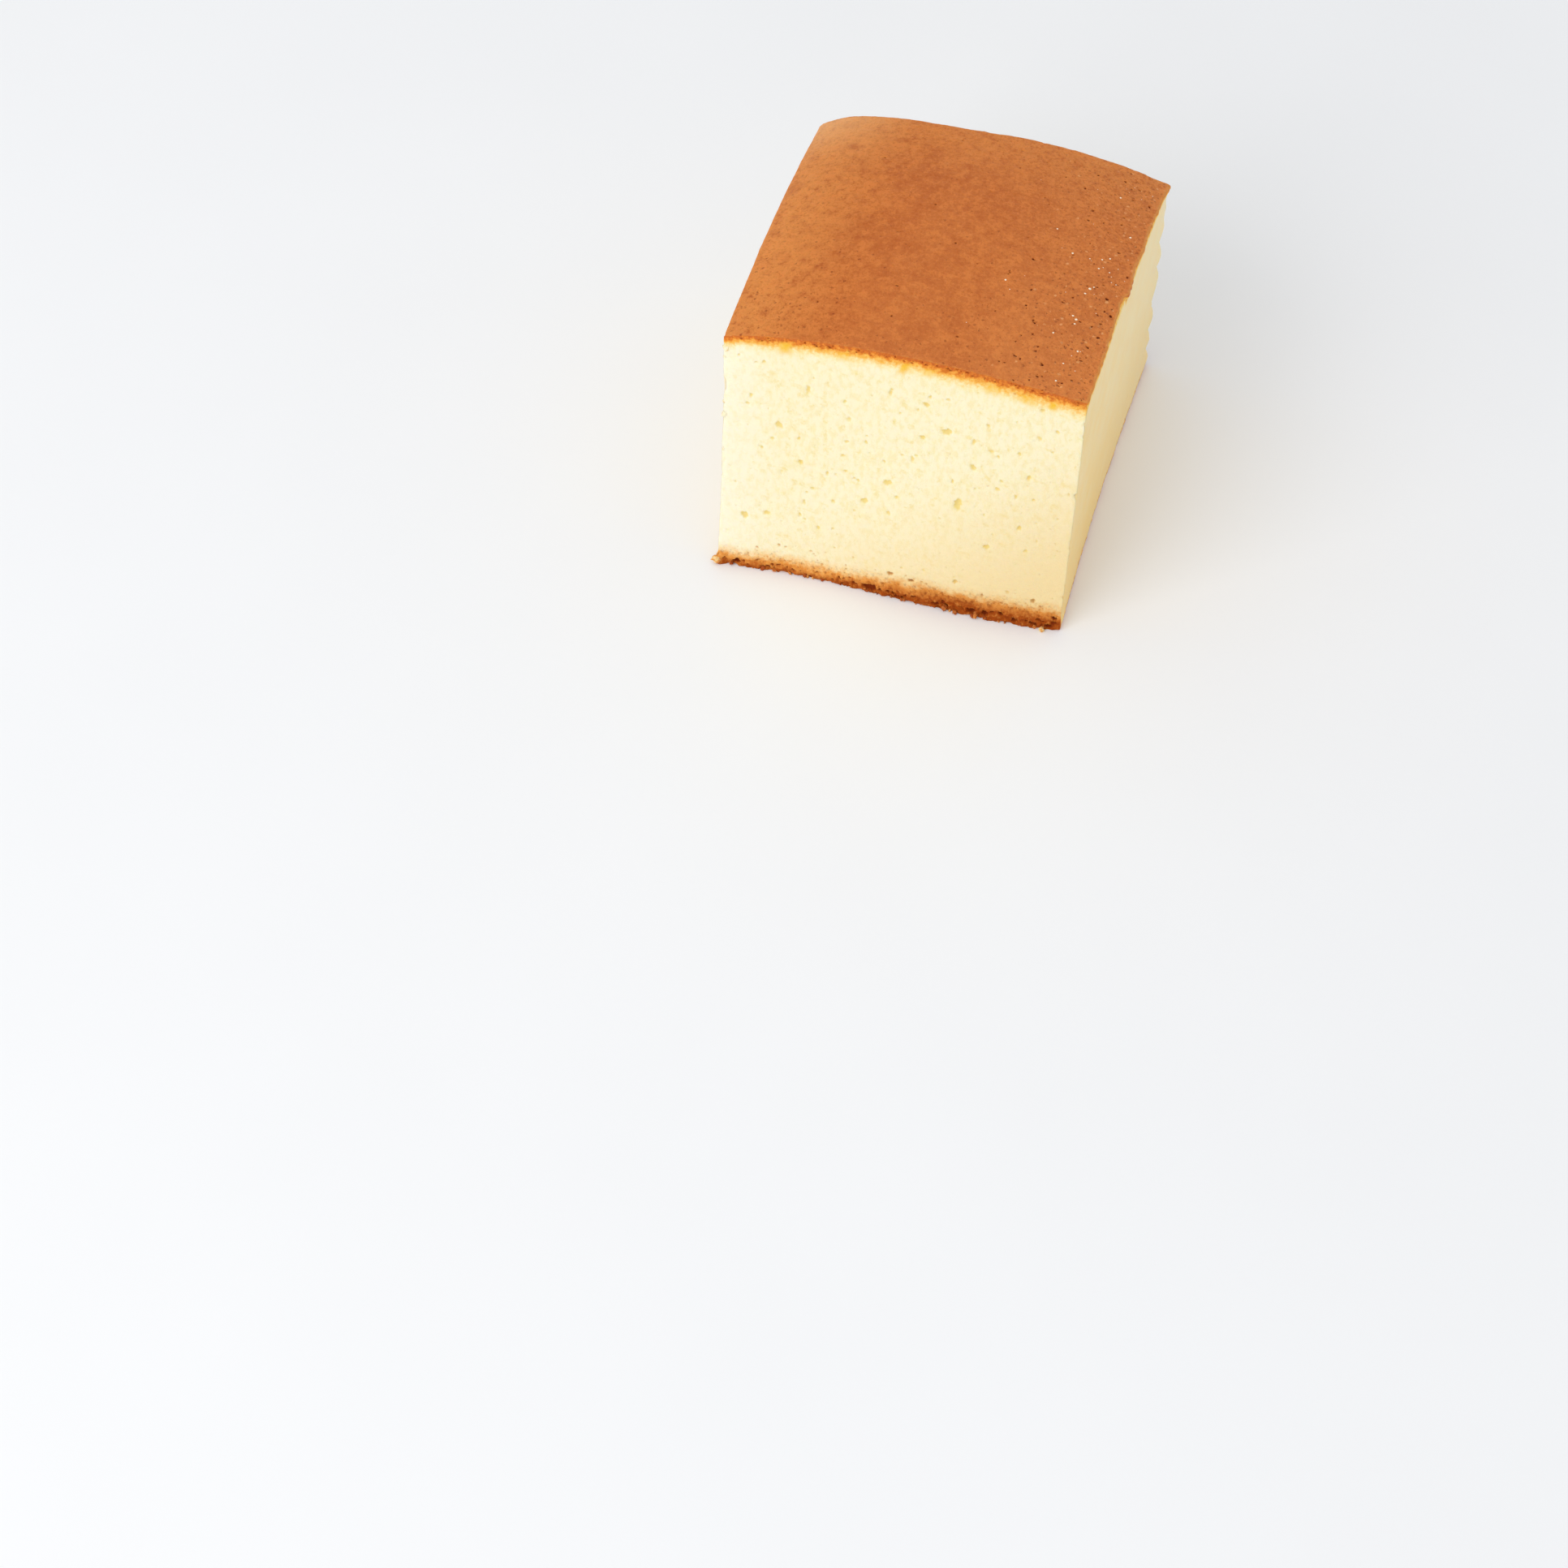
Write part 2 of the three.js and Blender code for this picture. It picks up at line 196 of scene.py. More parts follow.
CRUST_PITS = [           # across, along and width, where the brown skin burst open
    (68.3, 7.7, 0.85), (76.1, 17.0, 0.8), (78.5, 29.4, 1.1), (75.2, 5.7, 0.75), (67.0, 60.0, 0.7),
    (75.7, 12.4, 0.65), (75.4, 24.0, 0.7), (76.5, 34.7, 0.9), (59.0, 40.4, 0.75), (77.0, 25.8, 0.7),
    (77.5, 21.1, 0.9), (73.9, 62.6, 0.65), (72.8, 24.4, 0.6), (66.6, 45.8, 0.55), (62.3, 8.1, 0.75),
]
PIT_SHAPE = (0.55, 0.9)  # their length along the block, as a share of their width
PIT_DEPTH = 0.6
SCATTER = {              # how many more bubbles each face has, and their sizes from and to
    "front": ((100, 0.5, 0.9), (420, 0.3, 0.5)),
    "back": ((14, 1.1, 2.0), (130, 0.5, 1.1), (420, 0.3, 0.5)),
    "left": ((14, 0.5, 1.0), (60, 0.3, 0.5)),
    "right": ((14, 0.5, 1.0), (60, 0.3, 0.5)),
    "top": ((40, 0.3, 0.5),),
    "base": (),
}
SCATTER_SHAPE = (0.75, 1.3)       # how drawn out they are
SCATTER_DEPTH = 0.36     # for their size
MORE_SMALL = 1.7         # 1 would be as many large ones as small ones
CRUST_BURSTS = (210, 0.3, 0.75)   # more on the crust, crowded along its right and towards its front
BURST_DEPTH = 0.5
BURST_MARGIN = 1.0       # the nearest of them to the right edge, and how far in they lie on average
BURST_SPREAD = 15.0
BURST_FORWARD = 1.35     # 1 would be as many at the back as at the front
CRUST_TICKS = 70         # short dark splits along the crust's cut edges, on each face that has one
TICK_DROP = (0.3, 1.1)   # how far below the edge they lie on a cut face, and their sizes
TICK_WIDTH = (0.4, 1.2)
TICK_HEIGHT = (0.3, 0.5)
TICK_DEPTH = (0.15, 0.4)
TOP_TICK_BACK = (0.2, 1.4)        # how far behind the edge they lie on the crust, and their sizes
TOP_TICK_SIZE = (0.3, 0.9)
TOP_TICK_SHAPE = (1, 0.5)
TOP_TICK_DEPTH = 0.1
BASE_HOLES = [           # across, up, width and height of the large holes in the base's front
    (4.4, 1.2, 2.0, 1.5), (36.0, 1.3, 3.6, 1.7), (41.6, 1.4, 1.3, 1.2), (51.5, 1.3, 1.9, 1.2),
    (54.0, 1.5, 1.1, 1.1), (59.6, 1.5, 2.1, 1.7), (62.8, 1.5, 1.9, 1.5), (66.5, 2.3, 1.5, 1.0),
    (69.5, 1.2, 1.7, 1.2), (73.5, 1.2, 1.3, 1.0), (78.4, 3.1, 1.3, 1.3), (77.3, 0.9, 2.1, 1.3),
]
BASE_HOLE_DEPTH = 1.0
BASE_PITS = 90           # smaller ones in the base of each cut face
BASE_PIT_RISE = (0.3, 2.4)
BASE_PIT_SIZE = (0.5, 1.6)
BASE_PIT_SHAPE = (0.5, 0.9)       # their height, as a share of their width
BASE_PIT_MORE_SMALL = 1.6
BASE_PIT_DEPTH = 0.2     # the least, and what their size adds
BASE_PIT_DEEPER = 0.3
BASE_PORES = 70          # small brown bubbles just over it, more of them to the right
BASE_PORE_FOOT = 3.2     # the lowest of them, and how much higher they lie on average
BASE_PORE_SPREAD = 1.4
BASE_PORE_SIZE = (0.45, 0.95)
BASE_PORE_RIGHTWARD = 0.7         # 1 would be as many at the left as at the right
BASE_PORE_DEPTH = 0.32   # for their size
KEEP_OFF = 1.6           # scattered bubbles stay this far from a face's edges
MARK_MARGIN = 1.0        # and splits and pits this far from its ends
RIM_WAVES = ((2, 0.16), (3, 0.1), (5, 0.09), (8, 0.06))   # waves round a bubble's rim, and how large
RIM_REACH = 0.8          # a rim stays within this share of the bubble's size, waves and all
PLAIN_BOWL = 1.0         # a bowl with a firm rim, one whose rim is soft, and one in between
SOFT_BOWL = 1.25
HOLE_BOWL = 1.1


def press(height, mm, centre, size, depth, dice, bowl=SOFT_BOWL):
    """Presses one bubble into a face's heights: a rounded bowl with an uneven rim."""
    reach = RIM_REACH * max(size)
    spans = [np.searchsorted(mm[i], [centre[i] - reach, centre[i] + reach]) for i in (0, 1)]
    window = np.s_[spans[0][0]:spans[0][1], spans[1][0]:spans[1][1]]
    a = mm[0][window[0], None] - centre[0]
    b = mm[1][None, window[1]] - centre[1]
    turn = np.arctan2(b, a)
    rim = 1.0
    for waves, share in RIM_WAVES:
        rim = rim + share * np.sin(waves * turn + dice.uniform(0, 2 * math.pi))
    radius = np.hypot(a / size[0], b / size[1]) * 2 / rim
    hollow = depth * np.clip(1 - radius ** 2, 0, 1) ** bowl
    height[window] = np.minimum(height[window], -hollow)


def sprinkle(height, mm, count, smallest, largest, dice, burst=False):
    """Scatters bubbles over a face, or where they burst through the crust, along its right."""
    depth, bowl = (BURST_DEPTH, PLAIN_BOWL) if burst else (SCATTER_DEPTH, SOFT_BOWL)
    for _ in range(count):
        size = mix(smallest, largest, dice.random() ** MORE_SMALL)
        stretch = dice.uniform(*SCATTER_SHAPE)
        centre = [dice.uniform(KEEP_OFF, lines[-1] - KEEP_OFF) for lines in mm]
        if burst:
            inward = dice.exponential(BURST_SPREAD) % (mm[0][-1] - 2 * KEEP_OFF)
            centre[0] = mm[0][-1] - BURST_MARGIN - inward
            centre[1] = mm[1][-1] * dice.random() ** BURST_FORWARD
        press(height, mm, centre, (size * stretch, size / stretch), depth * size, dice, bowl)


def bake_marks(height, mm, up, dice):
    """Splits under the crust and holes in the base of a cut face; up is the axis that climbs it."""
    def at(across, rise, wide, high, depth):
        pair = (rise, across) if up == 0 else (across, rise)
        size = (high, wide) if up == 0 else (wide, high)
        press(height, mm, pair, size, depth, dice)

    wide, top = mm[1 - up][-1], mm[up][-1]
    for _ in range(CRUST_TICKS):
        at(dice.uniform(MARK_MARGIN, wide - MARK_MARGIN), top - dice.uniform(*TICK_DROP),
           dice.uniform(*TICK_WIDTH), dice.uniform(*TICK_HEIGHT), dice.uniform(*TICK_DEPTH))
    for _ in range(BASE_PITS):
        size = mix(*BASE_PIT_SIZE, dice.random() ** BASE_PIT_MORE_SMALL)
        at(dice.uniform(MARK_MARGIN, wide - MARK_MARGIN), dice.uniform(*BASE_PIT_RISE),
           size, size * dice.uniform(*BASE_PIT_SHAPE), BASE_PIT_DEPTH + BASE_PIT_DEEPER * size)
    for _ in range(BASE_PORES):
        size = dice.uniform(*BASE_PORE_SIZE)
        at(MARK_MARGIN + (wide - 2 * MARK_MARGIN) * dice.random() ** BASE_PORE_RIGHTWARD,
           BASE_PORE_FOOT + dice.exponential(BASE_PORE_SPREAD), size, size, BASE_PORE_DEPTH * size)


lattice, hollows, quads, count = [], [], [], 0
for seed, (name, (closed, end, *axes)) in enumerate(FACES.items(), start=400):
    dice = np.random.default_rng(seed)
    mm = [np.arange(LINES[axis] + 1) * BLOCK_SIZE[axis] / LINES[axis] for axis in axes]
    height = np.zeros([len(lines) for lines in mm])
    for amount, smallest, largest in SCATTER[name]:
        sprinkle(height, mm, amount, smallest, largest, dice)
    if name in ("front", "back"):
        bake_marks(height, mm, axes.index(2), dice)
    if name == "front":
        flat = NOMINAL_HEIGHT / FRONT_HEIGHT
        for x, z, wide, high, depth in FRONT_BUBBLES:
            press(height, mm, (x, z * flat), (wide, high), depth, dice)
        for x, z in FRONT_BUBBLES_SMALL:
            press(height, mm, (x, z * flat), dice.uniform(*SMALL_WIDTH, 2), SMALL_DEPTH, dice)
        for x, z, wide, high in BASE_HOLES:
            press(height, mm, (x, z * flat), (wide, high), BASE_HOLE_DEPTH, dice, HOLE_BOWL)
    if name == "top":
        sprinkle(height, mm, *CRUST_BURSTS, dice, burst=True)
        for _ in range(CRUST_TICKS):
            spot = (dice.uniform(MARK_MARGIN, WIDTH - MARK_MARGIN), dice.uniform(*TOP_TICK_BACK))
            size = dice.uniform(*TOP_TICK_SIZE, 2) * TOP_TICK_SHAPE
            press(height, mm, spot, size, TOP_TICK_DEPTH, dice)
        for x, y, wide in CRUST_PITS:
            size = (wide, wide * dice.uniform(*PIT_SHAPE))
            press(height, mm, (x, y), size, PIT_DEPTH, dice, PLAIN_BOWL)

    points = np.zeros([*height.shape, 3], int)
    points[..., closed] = end * LINES[closed]
    points[..., axes[0]] = np.arange(height.shape[0])[:, None]
    points[..., axes[1]] = np.arange(height.shape[1])[None, :]
    number = count + np.arange(height.size).reshape(height.shape)
    around = (number[:-1, :-1], number[1:, :-1], number[1:, 1:], number[:-1, 1:])
    quads.append(np.stack(around, -1).reshape(-1, 4))
    lattice.append(points.reshape(-1, 3))
    hollows.append(-height.ravel())
    count += height.size

# Points of different faces that lie on one spot of the lattice become one point
lattice, hollows, quads = (np.concatenate(part) for part in (lattice, hollows, quads))
code = lattice @ np.array([1, 10_000, 100_000_000])
_, kept, joined = np.unique(code, return_index=True, return_inverse=True)
joined = joined.ravel()
hollow = np.zeros(len(kept))
np.maximum.at(hollow, joined, hollows)
quads = joined[quads]
u, v, w = (lattice[kept] / LINES).T

# Every edge is softened: a point near one moves on to a small round
spread = lattice[kept] / LINES * BLOCK_SIZE
core = np.clip(spread, EDGE_RADIUS, BLOCK_SIZE - EDGE_RADIUS)
outward = spread - core
outward /= np.linalg.norm(outward, axis=1, keepdims=True)
place = plain_block(*((core + outward * EDGE_RADIUS) / BLOCK_SIZE).T)
x, y, z = place.T
under_crust = crust_height(u, v) * (1 - w)
from_side = WIDTH * np.minimum(u, 1 - u)
from_cut = BASE_LENGTH * np.minimum(v, 1 - v)
from_right = WIDTH * (1 - u)

# How level each point faces, and how much it belongs to one of the two cuts
wall = np.hypot(outward[:, 0], outward[:, 1])
cut = 1 - fade(np.abs(outward[:, 1]) - 0.3, 0.6)

# The crust's cut edge stands proud in a ragged fringe, and the base flares out in crags where it
# was cut, but hardly under the two peeled sides
fringe = clouds(place, LIP_FRINGE)
lip = fade(under_crust - LIP_FOOT - FRINGE_DROP * fringe, LIP_FADE)
lip = CRUST_LIP * lip * (1 + FRINGE_SWELL * fringe)
low = fade(z - FLARE_TOP, FLARE_FADE) * mix(SIDE_FLARE, 1, cut)
corner = fade(u * WIDTH, CORNER_REACH) * fade(v * BASE_LENGTH, CORNER_REACH)
flare = low * (BASE_FLARE + BASE_CRAG * clouds(place, BASE_CRAGS)) + CORNER_FLARE * corner * low
push = (lip * cut + flare) * wall

# Upright edges are nicked where crumb pulled away, and the back right one is torn in lobes
at_edge = fade(np.maximum(from_side, from_cut), NICK_REACH)
nicks = at_edge * NICK_DEPTH * np.clip(cloud(place, NICK_LENGTH, 17) - NICK_GAPS, 0, 1)
lobes = z / SCALLOP_PITCH + SCALLOP_DRIFT * np.sin(z / SCALLOP_PITCH) + 0.3 * cloud(place, 9, 24)
torn = fade(from_right, SCALLOP_REACH) * fade((1 - v) * BASE_LENGTH, SCALLOP_REACH)
near_crust = fade(under_crust - SCALLOP_TOP, SCALLOP_TOP)
torn = torn * (1 - near_crust) + SCALLOP_TOP_SHARE * torn * near_crust
torn = torn * SCALLOP_DEPTH * (np.abs(np.sin(math.pi * lobes)) - SCALLOP_INSIDE)

# The crust's right edge was torn by the paper: it hangs over the crumb here and stops short there
lengthwise = place * (0, 1, 0)
hang = np.interp(y, *np.transpose(RIGHT_EDGE)) + RIGHT_EDGE_FRAY * cloud(lengthwise, 1.7, 25)
hang += RIGHT_EDGE_FRAY * cloud(lengthwise, 0.7, 26)
hang *= fade(from_right, HANG_WIDTH) * fade(under_crust - HANG_DROP, HANG_DROP)

# The whole skin swells and sinks a little, but its foot stays flat on the table
swell = clouds(place, SWELL) * (1 - fade(z, 0.5))
surface = place + outward * (push - hollow - nicks + swell)[:, None]
surface += torn[:, None] * SCALLOP_WAY + hang[:, None] * (1, 0, 0)
surface[:, 2] = np.maximum(surface[:, 2], 0)


def mesh_from(name, points, polygons, facts=()):
    """A mesh in the part's own frame from points in millimetres, with facts kept at its points."""
    mesh = bpy.data.meshes.new(name)
    mesh.vertices.add(len(points))
    mesh.vertices.foreach_set("co", ((points - MIDDLE) * MM).ravel())
    mesh.loops.add(polygons.size)
    mesh.loops.foreach_set("vertex_index", polygons.ravel())
    mesh.polygons.add(len(polygons))
    mesh.polygons.foreach_set("loop_start", np.arange(0, polygons.size, polygons.shape[1]))
    mesh.update(calc_edges=True)
    for label, values in dict(facts).items():
        fact = mesh.attributes.new(label, "FLOAT", "POINT")
        fact.data.foreach_set("value", np.asarray(values, np.float32))
    mesh.polygons.foreach_set("use_smooth", np.ones(len(polygons), bool))
    piece = bpy.data.objects.new(name, mesh)
    bpy.context.scene.collection.objects.link(piece)
    return piece


# How baked each point is: how far it lies below the edge of the brown skin, less than nothing on
# top of it, and how far above the foot. The golden edge is narrower at the left of a cut. On the
# peeled sides the brown skin hangs down in an uneven skirt, and the browned base is lower.
GOLD_LEFT = 0.95         # how wide the golden edge is at the left of a cut; 1 is plain
GOLD_MORE = 0.4          # and how much wider at its right, which it reaches by this far across
GOLD_FULL = 0.7 * WIDTH
SIDE_SKIN = 1.4          # the skin's edge fades this much faster on a peeled side
SIDE_FOOT = 1.5          # a peeled side's foot is as brown as a cut is this far up, and its browned
SIDE_BASE = 0.4          # base is this share as high
DRAGGED = [              # golden marks that the knife dragged down:
    (15.2, 2.6, 2.7, 3.0, 0.1, 0.8),       # across, below the skin, width, height, slant, strength
    (28.0, 2.6, 2.8, 2.4, 0.0, 0.5),
    (41.2, 3.1, 1.8, 3.0, 0.5, 0.85),
    (46.5, 2.8, 2.4, 2.2, 0.2, 0.55),
    (60.3, 3.1, 3.6, 2.4, 0.1, 0.5),
    (67.8, 3.4, 3.6, 2.4, -0.2, 0.5),
    (73.4, 3.2, 1.8, 1.8, 0.3, 0.95),
]
TOOTH_AT = 46.0          # along; the skirt hangs lowest here on the right, and shrinks towards the back
TOOTH_LENGTH = 9.0
TOOTH_DROP = 2.2
SKIRT = ((0.3, 6, 22), (0.25, 2.1, 23))
DRAGGED_REACH = 0.55     # half of a mark's size, and a little for its soft edge
below = under_crust - np.minimum(from_side, from_cut)
band = GOLD_LEFT + GOLD_MORE * (1 - fade(x, GOLD_FULL)) + 0.15 * cloud(place, 11, 20)
skin_cut = below / band - 0.4 * cloud(place, 2.6, 21) * (1 - fade(below, 1.5))
behind_tooth = (y - TOOTH_AT) / TOOTH_LENGTH
tooth = np.where(behind_tooth > 0, 1 - behind_tooth, 0).clip(0, 1) * (u > 0.5)
skirt = clouds(lengthwise, SKIRT) + TOOTH_DROP * tooth
skin_side = SIDE_SKIN * (below - skirt.clip(0) * (1 - fade(below, 0.4)))
dragged = np.zeros(len(place))
for spot, under, wide, high, slant, strength in DRAGGED:
    a = (x - spot + slant * (under_crust - under)) / (DRAGGED_REACH * wide)
    b = (under_crust - under) / (DRAGGED_REACH * high)
    dragged = np.maximum(dragged, strength * np.exp(-a ** 4 - b ** 4) * (v < 0.5))
sponge = mesh_from("castella_sponge", surface, quads, {
    "under_skin": mix(skin_side, skin_cut, cut),
    "above_base": mix(SIDE_FOOT + z / SIDE_BASE, z, cut),
    "hollow": hollow,
    "dragged": dragged,
    "cut_face": cut,
    "across": x,
    "along": y,
})
thin = sponge.modifiers.new("thin", "DECIMATE")
thin.ratio = FACE_LIMIT / (2 * len(quads))
bpy.context.view_layer.objects.active = sponge
sponge.select_set(True)
bpy.ops.object.modifier_apply(modifier=thin.name)


class Recipe:
    """One material. Each call adds a node and gives back what it puts out; sizes are millimetres."""

    def __init__(self, name):
        self.material = bpy.data.materials.new(name)
        self.material.use_nodes = True
        self.tree = self.material.node_tree
        self.shader = self.tree.nodes["Principled BSDF"]
        spot = self.node("TexCoord").outputs["Object"]
        self.spot = self.node("VectorMath", {"operation": "SCALE"}, {0: spot, "Scale": 1 / MM}).outputs[0]

    def node(self, kind, settings=(), inputs=()):
        node = self.tree.nodes.new("ShaderNode" + kind)
        for name, value in dict(settings).items():
            setattr(node, name, value)
        for name, value in dict(inputs).items():
            self.feed(node.inputs[name], value)
        return node

    def feed(self, socket, value):
        if isinstance(value, bpy.types.NodeSocket):
            self.tree.links.new(value, socket)
        else:
            socket.default_value = value

    def fact(self, name):
        return self.node("Attribute", {"attribute_name": name}).outputs["Fac"]

    def sum(self, operation, *values):
        return self.node("Math", {"operation": operation}, dict(enumerate(values))).outputs[0]

    def both(self, share, *others):
        """Shares multiplied together."""
        for other in others:
            share = self.sum("MULTIPLY", share, other)
        return share

    def noise(self, lump, detail=2.0, roughness=0.5, stretch=(1, 1, 1)):
        spot = self.node("Mapping", inputs={"Vector": self.spot, "Scale": stretch}).outputs[0]
        inputs = {"Vector": spot, "Scale": 1 / lump, "Detail": detail, "Roughness": roughness}
        return self.node("TexNoise", inputs=inputs).outputs[0]

    def dots(self, apart, radius, share):
        """Small dots seen from above, about this far apart; a share of them is there, some faint."""
        stir = self.node("TexNoise", inputs={"Vector": self.spot, "Scale": 2.5}).outputs["Color"]
        stirred = {0: stir, 1: (0.9, 0.9, 0), 2: self.spot}
        spot = self.node("VectorMath", {"operation": "MULTIPLY_ADD"}, stirred).outputs[0]
        inputs = {"Vector": spot, "Scale": 1 / apart}
        cells = self.node("TexVoronoi", {"voronoi_dimensions": "2D"}, inputs)
        lot = self.node("SeparateColor", inputs={0: cells.outputs["Color"]}).outputs
        size = self.span(lot[1], 0, 1, 0.35 * radius / apart, radius / apart)
        dot = self.span(self.sum("DIVIDE", cells.outputs["Distance"], size), 0.5, 1, 1, 0)
        return self.both(dot, self.sum("LESS_THAN", lot[0], share), self.span(lot[2], 0, 1, 0.35, 1))

    def span(self, value, low, high, to_low=0.0, to_high=1.0):
        """Goes smoothly from to_low to to_high while the value goes from low to high."""
        inputs = {0: value, 1: low, 2: high, 3: to_low, 4: to_high}
        return self.node("MapRange", {"interpolation_type": "SMOOTHSTEP"}, inputs).outputs[0]

    def between(self, share, a, b):
        """A number from a to b; blend does the same for colours."""
        return self.node("Mix", inputs={0: share, 2: a, 3: b}).outputs[0]

    def blend(self, share, a, b):
        return self.node("Mix", {"data_type": "RGBA"}, {0: share, 6: a, 7: b}).outputs[2]

    def coats(self, ground, *coats):
        """A colour with other colours laid over it in turn, each as much as its share says."""
        for share, coat in coats:
            ground = self.blend(share, ground, coat)
        return ground

    def ramp(self, value, *stops):
        node = self.node("ValToRGB", inputs={0: value})
        elements = node.color_ramp.elements
        for at, colour in stops[2:]:
            elements.new(at)
        for element, (at, colour) in zip(elements, stops):
            element.position = at
            element.color = colour
        return node.outputs[0]

    def relief(self, height, depth, below=None):
        """Fine relief of this depth in millimetres."""
        inputs = {"Height": height, "Distance": depth * MM}
        if below is not None:
            inputs["Normal"] = below
        return self.node("Bump", inputs=inputs).outputs[0]

    def dress(self, piece, looks):
        """Sets or links the shader's inputs, and gives the material to the piece."""
        for name, value in looks.items():
            self.feed(self.shader.inputs[name], value)
        piece.data.materials.append(self.material)


def colour(red, green, blue):
    """A colour as it looks on a screen, 0 to 255, as the light that it gives back."""
    parts = np.array([red, green, blue]) / 255
    light = np.where(parts <= 0.04045, parts / 12.92, ((parts + 0.055) / 1.055) ** 2.4)
    return (*light.tolist(), 1.0)


CRUMB = colour(253, 240, 204)
CRUMB_WARM = colour(247, 229, 172)
CRUMB_PAINTED_LIGHT = colour(255, 247, 226)
CRUMB_LOW_SHADE = colour(242, 217, 163)
# Yellow of the soft smudges, and painted shade in the bubbles' hollows
BUBBLE_TONE_AND_SHADE = colour(240, 216, 132)
PEELED_AND_BOUNCE = colour(254, 221, 158)
PEELED_LOW_BOUNCE = colour(243, 203, 126)
CRUST_BROWN = colour(209, 118, 52)
CRUST_DEEP = colour(183, 90, 33)
CRUST_LIGHT = colour(233, 151, 72)
CRUST_FLECK = colour(219, 127, 58)
CRUST_PAINTED_SHEEN = colour(235, 153, 84)
CRUST_BLISTER_AND_HIGHLIGHT = colour(244, 184, 122)
EDGE_TAN = colour(222, 150, 76)
PINHOLE_SHADE = colour(98, 20, 0)
PINPRICK = colour(122, 36, 0)
RIM_BROWN = colour(196, 98, 34)
RIM_ORANGE = colour(230, 136, 48)
RIM_GOLD = colour(250, 188, 84)
RIM_PALE = colour(254, 222, 140)
DRAGGED_GOLD = colour(247, 192, 48)
SPLIT_SHADE = colour(154, 60, 14)
BASE_DARK_AND_SHADE = colour(122, 42, 0)
BASE_UNDER = colour(164, 74, 8)
BASE_BROWN = colour(194, 108, 38)
BASE_ORANGE = colour(230, 152, 70)
BASE_PEACH = colour(248, 204, 132)
RIM_COLOURS_DEPTH = 4.0          # millimetres that the golden edge's colours are spread over
BASE_COLOURS_HEIGHT = 6.0        # and the browned base's
CRUMB_ROUGHNESS = 0.88
CRUST_ROUGHNESS = (0.46, 0.62)
HOLLOW_ROUGHNESS = 0.95
GLOW = (1.0, 0.72, 0.38)         # how far red, green and blue light travel inside the sponge
SMOOTH_SIDE = 0.06               # the share of the relief that the peeled sides have

baked = Recipe("baked_sponge")
on_cut = baked.fact("cut_face")
hollowed = baked.fact("hollow")
under_skin = baked.fact("under_skin")
above_base = baked.fact("above_base")
dragged = baked.fact("dragged")
across = baked.fact("across")
along = baked.fact("along")

# Crumb: cream with faint streaks and smudges; painted light whitens its left end, painted warm light
# the shaded back cut, and painted shade with warm bounce light lies low on the right. Its bubbles are
# more yellow, partly painted shade in their hollows, and browned where they lie low
streaks = baked.noise(1.1, 3, 0.6, stretch=(1, 1, 0.55))
smudges = baked.noise(2.1, 3, 0.65)
# Painted shade and warm bounce light, growing low down and towards the right of the cuts
shade_fall = baked.sum("MULTIPLY_ADD", above_base, -0.9 / NOMINAL_HEIGHT, 0.73)
painted_shade_low_right = baked.sum("MULTIPLY_ADD", across, 0.78 / WIDTH, shade_fall)
# Painted shade in the bubbles' hollows: darker and more yellow, and browned where they lie low
pore_shade = baked.blend(baked.span(above_base, 5, 11, 0.8, 0), BUBBLE_TONE_AND_SHADE, BASE_BROWN)
crumb = baked.coats(
    CRUMB,
    (baked.span(streaks, 0.42, 0.68, 0, 0.62), CRUMB_WARM),
    (baked.span(smudges, 0.55, 0.72, 0, 0.5), BUBBLE_TONE_AND_SHADE),
    # Painted light: whiter towards the left end, on the window's side
    (baked.span(across, 16, 0, 0, 0.5), CRUMB_PAINTED_LIGHT),      # towards the left end
    # Painted warm light: warmer towards the back, where the back cut lies in shade
    (baked.span(along, 60, 84, 0, 0.35), CRUMB_WARM),      # towards the back
    (baked.span(painted_shade_low_right, 0.6, 1.38), CRUMB_LOW_SHADE),
    (baked.span(hollowed, 0.01, 0.36, 0, 0.86), pore_shade),
)

# The peeled sides: yellow on the right, partly painted warm bounce light, and less so on the left; less
# at the back, painted light there; deeper low down, where more painted warm bounce light is laid on
yellow_and_bounce = baked.both(baked.span(across, 30, 60, 0.35, 1), baked.span(along, 10, 86, 1, 0.6))
cloudy = baked.span(baked.noise(6, 3), 0.3, 0.7, 0.75, 1.0)
peeled = baked.coats(
    CRUMB,
    (baked.both(cloudy, yellow_and_bounce), PEELED_AND_BOUNCE),
    (baked.both(baked.span(above_base, 10, 120, 0.6, 0), yellow_and_bounce), PEELED_LOW_BOUNCE),
    # Painted shade in the bubbles' hollows
    (baked.span(hollowed, 0.03, 0.4, 0, 0.6), BUBBLE_TONE_AND_SHADE),
)
crumb = baked.coats(peeled, (on_cut, crumb), (dragged, DRAGGED_GOLD))

# Top crust: leathery brown over broad soft patches, finely grained, and lighter towards the left
# and the back. Pinholes, dark with painted shade, and pale blisters crowd towards its right; a painted
# sheen lies over it from its middle to its right, and a painted highlight at its back left corner
patches = baked.noise(15, 4, 0.6)
leather = baked.noise(2.2, 6, 0.72)
grain = baked.noise(0.7, 4, 0.66)
blotches = baked.noise(4.5, 3, 0.6)
creased = baked.span(baked.sum("ABSOLUTE", baked.sum("SUBTRACT", leather, 0.5)), 0, 0.035, 0.35, 0)
grainy = baked.span(across, 36, 76, 0.55, 1)
crowded = baked.sum("MAXIMUM", baked.span(across, 50, 80, 0.1, 0.85), baked.span(along, 32, 12, 0.1, 0.4))
pricked = baked.both(baked.dots(1.2, 0.36, crowded),
                     baked.span(across, 40, 74, 0.6, 1), baked.span(along, 30, 70, 1, 0.55))
